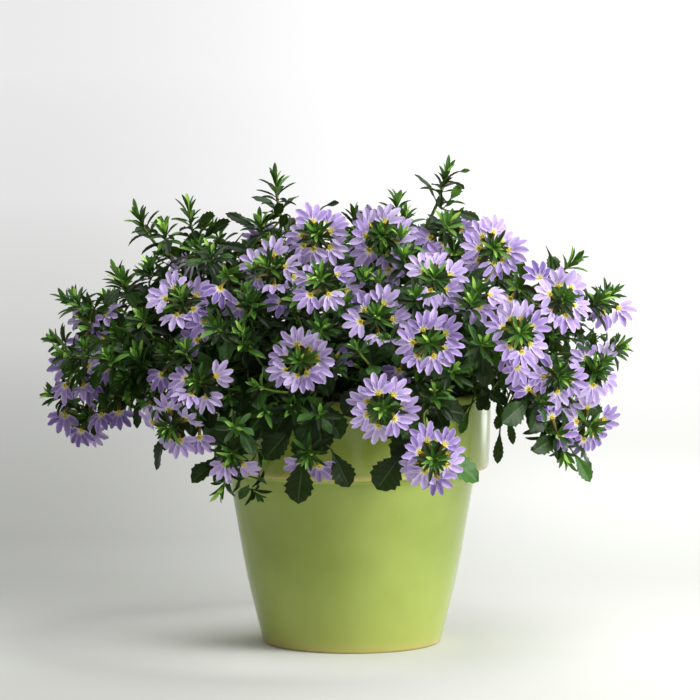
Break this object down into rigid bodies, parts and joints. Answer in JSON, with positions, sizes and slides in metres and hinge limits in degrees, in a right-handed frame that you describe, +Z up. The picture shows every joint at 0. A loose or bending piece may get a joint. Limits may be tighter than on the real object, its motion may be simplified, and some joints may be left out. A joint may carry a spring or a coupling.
{
  "type": "potted fan flower",
  "caption": "Leafy stems with rings of lavender fan-shaped flowers arch out over the plain wide collar of a lime-green glazed ceramic pot filled with potting soil.",
  "frame": {"origin": "centre of the pot's flat underside", "axes": "+Z up, front of the plant towards -Y, +X along the plant's widest reach, to the right as seen from the front"},
  "size_m": [0.422, 0.3661, 0.349],
  "materials": {
    "lime_glaze": "glossy lime-green glaze",
    "potting_soil": "dark crumbly potting mix",
    "green_leaves": "slightly glossy dark green leaves, yellow-green stems",
    "petals": "matte lavender petals with a yellow throat"
  },
  "bodies": {
    "root": {"flower_head_01": "petals", "flower_head_02": "petals", "flower_head_03": "petals", "flower_head_04": "petals", "flower_head_05": "petals", "flower_head_06": "petals", "flower_head_07": "petals", "flower_head_08": "petals", "flower_head_09": "petals", "flower_head_10": "petals", "flower_head_11": "petals", "flower_head_12": "petals", "flower_head_13": "petals", "flower_head_14": "petals", "flower_head_15": "petals", "flower_head_16": "petals", "flower_head_17": "petals", "flower_head_18": "petals", "flower_head_19": "petals", "flower_head_20": "petals", "flower_head_21": "petals", "flower_head_22": "petals", "flower_head_23": "petals", "flower_head_24": "petals", "flower_head_25": "petals", "flower_head_26": "petals", "flower_head_27": "petals", "flower_head_28": "petals", "flower_head_29": "petals", "flower_head_30": "petals", "flower_head_31": "petals", "flower_head_32": "petals", "flower_head_33": "petals", "flower_head_34": "petals", "flower_head_35": "petals", "flower_head_36": "petals", "flower_head_37": "petals", "flower_head_38": "petals", "flower_head_39": "petals", "flower_head_40": "petals", "flower_head_41": "petals", "flower_head_42": "petals", "leafy_spray_01": "green_leaves", "leafy_spray_02": "green_leaves", "leafy_spray_03": "green_leaves", "leafy_spray_04": "green_leaves", "leafy_spray_05": "green_leaves", "leafy_spray_06": "green_leaves", "leafy_spray_07": "green_leaves", "leafy_spray_08": "green_leaves", "leafy_spray_09": "green_leaves", "leafy_spray_10": "green_leaves", "leafy_spray_11": "green_leaves", "leafy_spray_12": "green_leaves", "leafy_spray_13": "green_leaves", "leafy_spray_14": "green_leaves", "leafy_spray_15": "green_leaves", "pot": "lime_glaze", "soil": "potting_soil"}
  },
  "joints": []
}
